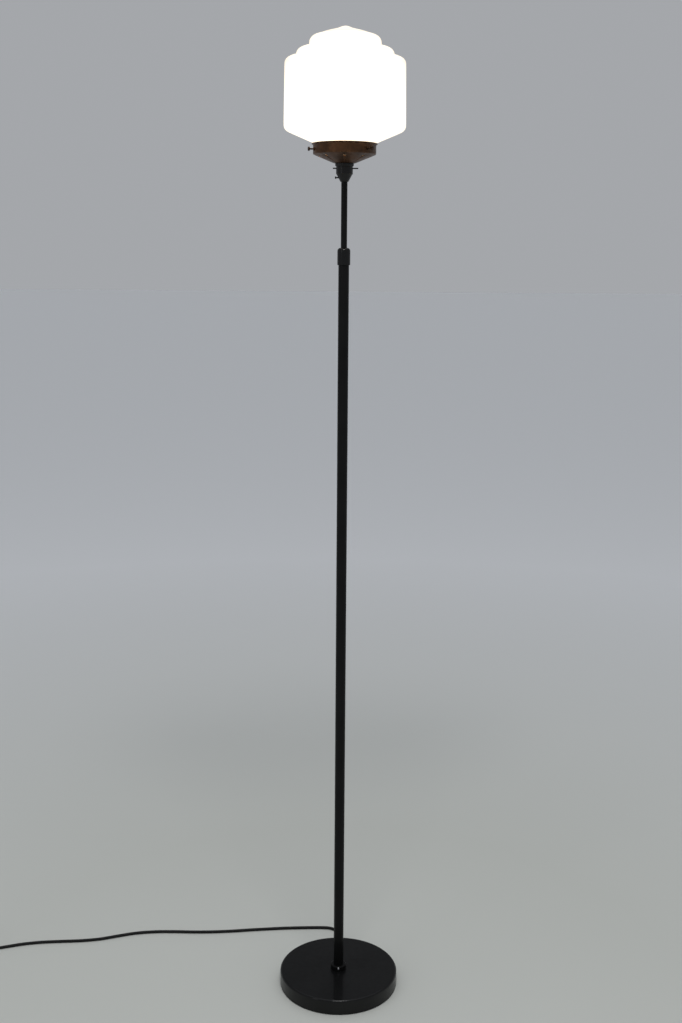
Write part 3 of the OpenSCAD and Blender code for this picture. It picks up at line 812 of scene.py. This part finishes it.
def make_grub_screw():
    tip, head = 5.6, -grub_low.x / MM
    section = [(0, tip), (GRUB_R, tip, 0.2), (GRUB_R, head - 2.2), (GRUB_HEAD_R, head - 2.2, 0.2),
               (GRUB_HEAD_R, head, 0.35), (0, head)]
    piece = turned("cap_grub_screw", *rounded(section, closed=False), segments=THIN_ROUND, closed=False,
                   place=placed(0, 0, grub_z, "-X"))
    cut(piece, [slab(placed(-head, 0, grub_z), 1.6, 0.6, 5)])
    fit_in(piece, "mast", "black_brass", "holder_grub")


def make_contact_spring(k):
    """The coil spring under a contact, drawn in one shape."""
    low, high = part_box(f"spring_{k}")
    wire, turns, steps = 0.25, 5, 24  # the wire's radius, the coil's turns, and the steps of each turn
    r, y = half_mm(low.x, high.x) - wire, mid_mm(low.y, high.y)
    start, end = low.z / MM + wire, high.z / MM - wire
    path = []
    for j in range(turns * steps + 1):
        a = TURN * j / steps
        rise = (end - start) * j / (turns * steps)
        path.append((r * math.cos(a), y + r * math.sin(a), start + rise))
    piece = tube_along(f"contact_spring_{k}", path, wire, steps=1)
    fit_in(piece, "mast", "spring_steel", f"spring_{k}")
    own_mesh(piece)


# ---- gallery
BOWL_WALL = 1.2
BAND_R = 55
# Heights above the bowl's underside.
CONE_H = 14.4
BAND_LOW, BAND_HIGH = 15.3, 30.1
THUMB_Z = 22.3
VENTS = 8
VENT_RING = 44.5
VENT_R = 2.8
THUMB_ANGLES = (-164, -44, 76)
THUMB_TIP, THUMB_HEAD, THUMB_END = 51.8, 63, 66  # where each lies on a thumbscrew, from the pole's axis
THUMB_R, THREAD_R = 3.5, 1.5
HEAD_WEAR = 0.4  # how worn a thumbscrew's grip is beside a rounded edge
BUSH_R, FLANGE_R = 2, 3


def radial(angle, start):
    """A place whose Z axis points out along a thumbscrew's line, from a radius."""
    a = math.radians(angle)
    out = Matrix.Rotation(a, 4, "Z") @ Matrix.Rotation(math.pi / 2, 4, "Y")
    return Matrix.Translation((start * math.cos(a), start * math.sin(a), bowl.low + THUMB_Z)) @ out


def make_bowl():
    """The gallery's bowl: a cone with vents, a straight band and a flared rim."""
    bore, z = barrel.r + FIT, bowl.low
    inner = BAND_R - BOWL_WALL
    section = [(bore, z, 0.2), (19, z, 1.2), (BAND_R - 0.8, z + CONE_H, 1.0), (BAND_R, z + BAND_LOW, 0.5),
               (BAND_R, z + BAND_HIGH, 1.2), (bowl.r, bowl.high - 1.1, 0.5), (bowl.r, bowl.high, 0.45),
               (bowl.r - 0.8, bowl.high, 0.3), (inner, z + BAND_HIGH + 0.7, 1.2),
               (inner, z + BAND_LOW + 0.4, 1), (inner - 0.6, z + CONE_H + 0.8, 1),
               (18.6, z + BOWL_WALL, 1), (bore, z + BOWL_WALL)]
    piece = turned("spun_bowl", *rounded(section, step=12), segments=WIDE_ROUND)
    tools = []
    for k in range(VENTS):
        a = -TURN / 4 + TURN * k / VENTS
        tools.append(drill(placed(VENT_RING * math.cos(a), VENT_RING * math.sin(a), z - 1), VENT_R, 25))
    tools += [drill(radial(angle, inner - 2), BUSH_R + FIT, 6) for angle in THUMB_ANGLES]
    cut(piece, tools)
    fit_in(piece, "mast", "bronze", "gallery")


def make_bushes():
    """The threaded bushes of the thumbscrews, set through the band."""
    bore, length = THREAD_R + 0.06, 3.4
    section = [(bore, 0, 0.15), (BUSH_R, 0), (BUSH_R, 2), (FLANGE_R, 2, 0.1), (FLANGE_R, length, 0.35),
               (bore, length, 0.2)]
    bushes = [turned("bush", *rounded(section), segments=SMALL_ROUND, place=radial(angle, BAND_R - 2))
              for angle in THUMB_ANGLES]
    fit_in(joined("screw_bushes", bushes), "mast", "bronze", "gallery_bushes")


def make_thumbscrew(k, angle):
    neck, end = THUMB_HEAD - THUMB_TIP, THUMB_END - THUMB_TIP
    depth, pitch = 0.28, 0.7
    head, grip = THUMB_R, fluted(THUMB_R, depth=0.25, count=24)
    rings = [*circles([(0, 0), (1.0, 0)]),
             *thread_rings(THREAD_R, depth, pitch, 0.5, neck - 1.2),
             *circles([(1.35, neck - 0.4), (1.35, neck), (head - 0.5, neck), (head - 0.2, neck + 0.3),
                       (grip, neck + 0.6), (grip, end - 0.7), (head - 0.3, end - 0.35),
                       (head - 0.8, end - 0.1), (1.2, end), (0, end)])]
    points, faces = skin(rings)
    worn = [HEAD_WEAR if math.hypot(p.x, p.y) > head - 0.35 else 0.0 for p in points]
    piece = new_mesh(f"thumbscrew_{k}", points, faces, worn, sharp=30, place=radial(angle, THUMB_TIP))
    cut(piece, [slab(radial(angle, THUMB_END), 0.8, 9, 1.8)])
    fit_in(piece, f"screw_{k}", "bronze", f"gallery_screw_{k}", finish=painted_shade_bronze)


# ---- glass shade
GLASS = 3.0  # its thickness
NECK_R = 51.5


def plain(*points):
    """Points of the shade's outline (radius, height), with an edge weight of 0."""
    return [(r, z, 0.0) for r, z in points]


def round_edge(points):
    return [(r, z, 1.0) for r, z in points]


def shade_outline(t):
    """The shade's line from its mouth up to its tip, t inside the glass, in heights above the mouth."""
    body, neck = shade.r, NECK_R
    tier_1, tier_2, tier_3 = body - 1.5, body - 21.4, body - 44
    top_1, top_2, top_3 = 155.0, 171.0, 192.5
    r0, r1, r2, r3, fillet = 11, 9, 10, 12, 2.5
    crown = [(42, 195.8), (34, 198.4), (25, 200.8), (17, 203.0), (12, 204.8), (8, 206.4), (4, 207.7),
             (1.5, 208.15), (0, 208.2)]
    return [
        *plain((neck - t, 1.2), (neck - t, 6), (neck - t, 11 + 0.6 * t),
               (neck + 1.5 - 0.75 * t, 14 + 0.7 * t), (neck + 5.5 - 0.5 * t, 16.2 + 0.9 * t),
               (body - 14 - 0.4 * t, 31 + 0.92 * t)),
        *round_edge(arc(body - r0, 44.3, r0 - t, -68, 0, 14)),
        *plain((body - 0.1 - t, 50), (tier_1 + 0.1 - t, top_1 - r1 - 6)),
        *round_edge(arc(tier_1 - r1, top_1 - r1, r1 - t, 0, 90, 14)),
        *plain(*arc(tier_2 + fillet, top_1 + 2.4 + fillet, fillet + t, 270, 180)),
        *round_edge(arc(tier_2 - r2, top_2 - r2, r2 - t, 0, 90, 14)),
        *plain(*arc(tier_3 + fillet, top_2 + 1.1 + fillet, fillet + t, 270, 180)),
        *round_edge(arc(tier_3 - r3, top_3 - r3, r3 - t, 0, 90, 14)),
        *plain(*[(r, z - t) for r, z in crown]),
    ]


def make_shade():
    lip = plain((NECK_R - GLASS + 0.5, 0.35), (NECK_R - GLASS / 2, 0), (NECK_R - 0.5, 0.35))
    outline = [*shade_outline(0), *shade_outline(GLASS)[::-1], *lip]
    rings = [circle(r, shade.low + z, WIDE_ROUND) for r, z, _ in outline]
    weights = [weight for ring, (_, _, weight) in zip(rings, outline) for _ in ring]
    piece = new_mesh("opal_shade", *skin(rings, loop=True), weights, sharp=60)
    fit_in(piece, "shade", "opal_glass", "glass_shade")


# ---- bulb
BULB_NECK_R, BULB_GLASS = 10.2, 0.9
STRIPS = 4
STRIP_FOOT = 49  # height above the bulb's contacts
STRIP_RING = 4
STRIP_LEAN = math.radians(9)
SUPPORT_WIRE_R = 0.22


def make_bulb():
    """The clear bulb, with upright filament strips on wires from its stem."""
    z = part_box("bulb_contacts")[0].z / MM

    def outline(t):
        neck = BULB_NECK_R
        ball = arc(0, bulb.high - bulb.r, bulb.r - t, -46, 90, 30)
        return [(neck - t, z + 18), (neck - t, z + 25), (neck + 0.6 - t, z + 28), (neck + 3 - t, z + 33),
                (neck + 6.8 - t, z + 40.5), *ball[:-1], (0, bulb.high - t)]

    rings = circles([*outline(0), *outline(BULB_GLASS)[::-1]])
    piece = new_mesh("bulb_envelope", *skin(rings, loop=True), sharp=60)
    fit_in(piece, "bulb", "bulb_glass", "bulb_glass")

    thin, thick = 0.35, 0.9
    section = [(0, 0), (thin, 0), (thin, 1.6), (thick, 2.2, 0.3), (thick, 31.8, 0.3), (thin, 32.4),
               (thin, 34), (0, 34)]
    stem_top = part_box("bulb_stem")[1].z / MM
    path = [(0.6, 0, stem_top - 4), (0.9, 0, stem_top + 0.2), (2.5, 0, stem_top + 1.2),
            (STRIP_RING, 0, z + STRIP_FOOT + 0.4)]
    strips, wires = [], []
    for k in range(STRIPS):
        turn = Matrix.Rotation(TURN * (k + 0.5) / STRIPS, 4, "Z")
        foot = turn @ Matrix.Translation((STRIP_RING, 0, z + STRIP_FOOT))
        strips.append(turned("strip", *rounded(section, closed=False), segments=24, closed=False,
                             place=foot @ Matrix.Rotation(STRIP_LEAN, 4, "Y")))
        wires.append(tube_along("wire", [turn @ Vector(p) for p in path], SUPPORT_WIRE_R))
    fit_in(joined("filament_strips", strips), "bulb", "filament", "bulb_filaments")
    fit_in(joined("support_wires", wires), "bulb", "tin")


# ---- cord, tie and plug
CORD_R = CORD_D / MM / 2


def make_relief():
    """The sleeve where the cord leaves the base: a flange each side of the cover, then soft rings."""
    low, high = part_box("cord_relief")
    start, end = low.y / MM, high.y / MM
    z = mid_mm(low.z, high.z)
    wall_in, wall_out = cover.r - 2.5, cover.r + 0.2
    section = [(CORD_R, start), (5.8, start, 0.3), (5.8, wall_in, 0.3), (5, wall_in), (5, wall_out),
               (6.5, wall_out, 0.3), (6.5, wall_out + 1.6, 0.6), (5.3, wall_out + 2.2, 0.3)]
    first, grooves = wall_out + 3.4, 7
    pitch = (end - 2 - first) / grooves
    for k in range(grooves):
        y = first + pitch * k
        r = 5.3 - 1.1 * (k + 0.5) / grooves
        section += [(r, y, 0.3), (r - 0.75, y + 0.25, 0.15), (r - 0.75, y + 1.05, 0.15),
                    (r - 0.1, y + 1.3, 0.3)]
    section += [(4.15, end - 0.3, 0.4), (CORD_R, end, 0.2)]
    outline, weights = rounded(section)
    line = smooth_route([Vector(p) / MM for p in CORD_ROUTE[:5]], 6)

    def drop(y):
        """How far the cord has dropped at y."""
        for a, b in zip(line, line[1:]):
            if a.y <= y <= b.y and b.y > a.y:
                return a.z + (b.z - a.z) * (y - a.y) / (b.y - a.y) - z
        return 0.0

    rings = [[Vector((p.x, y, z + p.y + drop(y))) for p in circle(r, 0, SMALL_ROUND)]
             for r, y in outline]
    weights = [w for w in weights for _ in range(SMALL_ROUND)]
    piece = new_mesh("cord_sleeve", *skin(rings, loop=True), weights)
    fit_in(piece, "stand", "cord_rubber", "cord_relief")
    return piece


def ribbon(line, wide, thick, place, loop):
    """A strap along a line in the XZ plane, soft at its edges."""
    profile = [(-0.5 * wide, -0.35 * thick), (0.5 * wide, -0.35 * thick), (wide / 2 + 0.15, 0),
               (0.5 * wide, 0.35 * thick), (-0.5 * wide, 0.35 * thick), (-wide / 2 - 0.15, 0)]
    rings = []
    count = len(line)
    for k, p in enumerate(line):
        before = line[k - 1] if loop or k else p
        after = line[(k + 1) % count] if loop or k < count - 1 else p
        out = (after - before).normalized().cross(Vector((0, 1, 0)))
        rings.append([place @ (p + Vector((0, w, 0)) + out * d) for w, d in profile])
    return new_mesh("ribbon", *skin(rings, loop=loop), sharp=50)


def make_tie():
    """A strap round one spot of the coil, with its end lapped over."""
    low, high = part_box("cord_tie")
    coil = COIL_AT / MM
    wide, thick, corner = 10, 0.9, 3.0
    spare = 3.4  # from the cord's middle to the strap's
    inner, outer = COIL_INNER / MM - spare, COIL_OUTER / MM + spare
    bottom, top = low.z / MM + thick / 2, high.z / MM - thick / 2
    line = []
    for x, z, a in ((outer - corner, bottom + corner, -90), (outer - corner, top - corner, 0),
                    (inner + corner, top - corner, 90), (inner + corner, bottom + corner, 180)):
        line += [Vector((px, 0, pz)) for px, pz in arc(x, z, corner, a, a + 90, 5)]
    lap = [p + Vector((0.95, 0, 0)) for p in line[4:8]]
    turn = Matrix.Translation((coil.x, coil.y, 0)) @ Matrix.Rotation(math.radians(35), 4, "Z")
    piece = joined("coil_tie", [ribbon(line, wide, thick, turn, loop=True),
                                ribbon(lap, wide - 0.6, thick, turn, loop=False)])
    fit_in(piece, "stand", "cord_rubber", "cord_tie")
    return piece


def superellipse(x, half_y, half_z, power, count=64):
    """A ring of points across the X axis: a rectangle with rounded corners."""
    out = []
    for k in range(count):
        a = TURN * k / count
        c, s = math.cos(a), math.sin(a)
        out.append(Vector((x, half_y * math.copysign(abs(c) ** (2 / power), c),
                           half_z * math.copysign(abs(s) ** (2 / power), s))))
    return out


# The sections of the plug's body: how far along it, then shares of its half sizes, then squareness.
PLUG_SECTIONS = [
    (0.0, 0.42, 0.56, 2.0), (0.02, 0.46, 0.62, 2.0), (0.08, 0.52, 0.70, 2.1), (0.18, 0.64, 0.80, 2.3),
    (0.30, 0.82, 0.92, 2.6), (0.40, 0.95, 0.985, 3.0), (0.48, 1.0, 1.0, 3.4), (0.60, 1.0, 1.0, 3.6),
    (0.78, 0.985, 0.985, 3.8), (0.94, 0.97, 0.97, 4.0), (0.985, 0.955, 0.945, 4.0),
    (1.0, 0.92, 0.89, 4.0),
]
# Each pin's place on the plug's face, and its lean in degrees.
PINS = [(-6.9, -3.2, 60), (6.9, -3.2, -60), (0, 6.2, 90)]
PIN_LONG, PIN_WIDE, PIN_THICK = 17, 6.3, 1.6
PIN_SQUARENESS = 5.0
# The sections of a pin: where along it, then shares of its width and thickness.
PIN_SECTIONS = [(-1.0, 1, 1), (0, 1, 1), (PIN_LONG - 1.4, 1, 1), (PIN_LONG - 0.5, 0.94, 0.8),
                (PIN_LONG, 0.8, 0.5)]


def make_plug_sleeve(place, long):
    """The strain relief between the cord and the plug: it widens from groove to groove."""
    section = [(CORD_R, 0, 0.2), (CORD_R + 1.2, 0, 0.4)]
    grooves = 6
    for k in range(grooves):
        x = 2.2 + (long - 5) / grooves * k
        r = CORD_R + 1.2 + 2.6 * (k + 0.5) / grooves
        section += [(r, x, 0.3), (r - 0.9, x + 0.3, 0.15), (r - 0.9, x + 1.2, 0.15),
                    (r + 0.2, x + 1.5, 0.3)]
    section += [(7.5, long - 1.5, 0.8), (7.5, long), (CORD_R, long)]
    piece = turned("plug_sleeve", *rounded(section), segments=SMALL_ROUND,
                   place=place @ Matrix.Rotation(math.pi / 2, 4, "Y"))
    fit_in(piece, "stand", "plug_rubber", "plug_relief")
    return piece


def make_plug_shell(place, start, long, half_y, half_z):
    """The plug's body, with finger grooves in its sides."""
    rings = [superellipse(x * long, y * half_y, z * half_z, power) for x, y, z, power in PLUG_SECTIONS]
    front = place @ Matrix.Translation((start, 0, 0))
    piece = new_mesh("plug_shell", *skin(rings), sharp=50, place=front)
    tools = []
    for side in (-1, 1):
        for k in range(4):
            at = Vector((start + long * (0.30 + 0.07 * k), side * half_y * (0.93 + 0.025 * k), 0))
            tools.append(slab(place @ Matrix.Translation(at), 1.1, 2.2, half_z * 1.1))
    cut(piece, tools)
    fit_in(piece, "stand", "plug_rubber", "plug_body")
    return piece


def make_plug_blades(place, start):
    pins = []
    for y, z, lean in PINS:
        at = Matrix.Translation((start, y, z)) @ Matrix.Rotation(math.radians(lean), 4, "X")
        rings = [superellipse(x, w * PIN_WIDE / 2, t * PIN_THICK / 2, PIN_SQUARENESS, count=24)
                 for x, w, t in PIN_SECTIONS]
        pins.append(new_mesh("pin", *skin(rings), place=place @ at))
    piece = joined("plug_blades", pins)
    fit_in(piece, "stand", "brass", "plug_pins")
    return piece


def make_plug():
    """The plug's pieces, laid out from where the cord enters it."""
    relief_low, relief_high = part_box("plug_relief")
    body_low, body_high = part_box("plug_body")
    y, z = mid_mm(body_low.y, body_high.y), mid_mm(body_low.z, body_high.z)
    place = Matrix.Translation((relief_high.x / MM, y, z)) @ Matrix.Rotation(math.pi, 4, "Z")
    relief = (relief_high.x - relief_low.x) / MM
    long = (body_high.x - body_low.x) / MM
    half_y, half_z = half_mm(body_low.y, body_high.y), half_mm(body_low.z, body_high.z)
    return [make_plug_sleeve(place, relief), make_plug_shell(place, relief, long, half_y, half_z),
            make_plug_blades(place, relief + long)]


# ---- all pieces
make_base()
make_ferrule()
make_pole()
make_cap()
make_barrel()
make_grip_ring()
make_push_bar()
make_grub_screw()
make_bowl()
make_bushes()
for number, angle in enumerate(THUMB_ANGLES, start=1):
    make_thumbscrew(number, angle)
make_shade()
make_bulb()
for number in (1, 2):
    make_contact_spring(number)
make_slack_lead()
fit_in(cord, "stand", "cord_rubber", "power_cord", "cord_coil")
make_relief()
make_tie()
make_plug()


# ---- floor and light, in metres
FLOOR_HALF = 60.0
# The floor is painted darker near the lamp, where the ceiling lamp's pool of light falls, and lighter far
# off, where that light fades: painted shade and painted light, so that it reads evenly bright.
FLOOR_NEAR = [(0.625, 0.64, 0.60), (0.65, 0.665, 0.625)]  # the colours that drift into one another
FLOOR_FAR_PAINTED_LIGHT = (0.97, 0.985, 1.0)
NEAR_ENDS, FAR_STARTS = 0.7, 3.6  # how far from the lamp the painted shade gives way to the painted light
ROOM_COLOUR = (0.97, 1.0, 1.05)
# How bright the room is, from level (0) to straight up (1).
ROOM_BY_HEIGHT = [(0.001, 0.385), (0.41, 0.385), (0.47, 0.13), (0.60, 0.13), (0.80, 0.55), (0.999, 0.60)]


def make_floor():
    h = FLOOR_HALF
    mesh = bpy.data.meshes.new("floor")
    mesh.from_pydata([(-h, -h, 0), (h, -h, 0), (h, h, 0), (-h, h, 0)], [], [(0, 1, 2, 3)])
    f = Finish("floor_paint", (0.8, 0.82, 0.78), 0.6, Specular_IOR_Level=0.2)
    distance = f.node("VectorMath", operation="LENGTH")
    f.link(f.where(), distance.inputs[0])
    near = f.mixed(f.noise(1.7, 4.0), *FLOOR_NEAR)
    # Painted light and shade: the floor turns lighter with distance from the lamp.
    far = f.ranged(distance.outputs["Value"], NEAR_ENDS, FAR_STARTS)
    f.drive("Base Color", f.mixed(far, near, FLOOR_FAR_PAINTED_LIGHT))
    mesh.materials.append(f.material)
    show("floor", mesh)


def make_world():
    """A pale room with a bright ceiling, which lights the floor, and dim walls below it."""
    world = bpy.data.worlds.new("room")
    world.use_nodes = True
    bpy.context.scene.world = world
    tree = world.node_tree
    background = tree.nodes["Background"]
    where = tree.nodes.new("ShaderNodeTexCoord")
    split = tree.nodes.new("ShaderNodeSeparateXYZ")
    rise = tree.nodes.new("ShaderNodeValToRGB")
    tree.links.new(where.outputs["Generated"], split.inputs[0])
    tree.links.new(split.outputs["Z"], rise.inputs["Fac"])
    stops = rise.color_ramp.elements
    for at, light in ROOM_BY_HEIGHT:
        stops.new(at).color = tuple(light * c for c in ROOM_COLOUR) + (1,)
    stops.remove(stops[0])
    stops.remove(stops[-1])
    tree.links.new(rise.outputs["Color"], background.inputs["Color"])


def make_lamp(name, place, aim, size, power):
    """A soft light that shines from its place towards a point."""
    data = bpy.data.lights.new(name, "AREA")
    data.shape = "ELLIPSE"
    data.size, data.size_y = size
    data.energy = power
    obj = show(name, data)
    obj.location = place
    obj.rotation_euler = (Vector(aim) - Vector(place)).to_track_quat("-Z", "Y").to_euler()


make_floor()
make_world()
make_lamp("ceiling", place=(0.12, -1.35, 3.4), aim=(0, 0, 0.6), size=(1.2, 0.6), power=34)
make_lamp("front_left", place=(-2.6, -2.6, 2.2), aim=(0, 0, 0.9), size=(0.6, 1.6), power=4)
bpy.context.scene.view_settings.view_transform = "Standard"

bpy.context.view_layer.update()
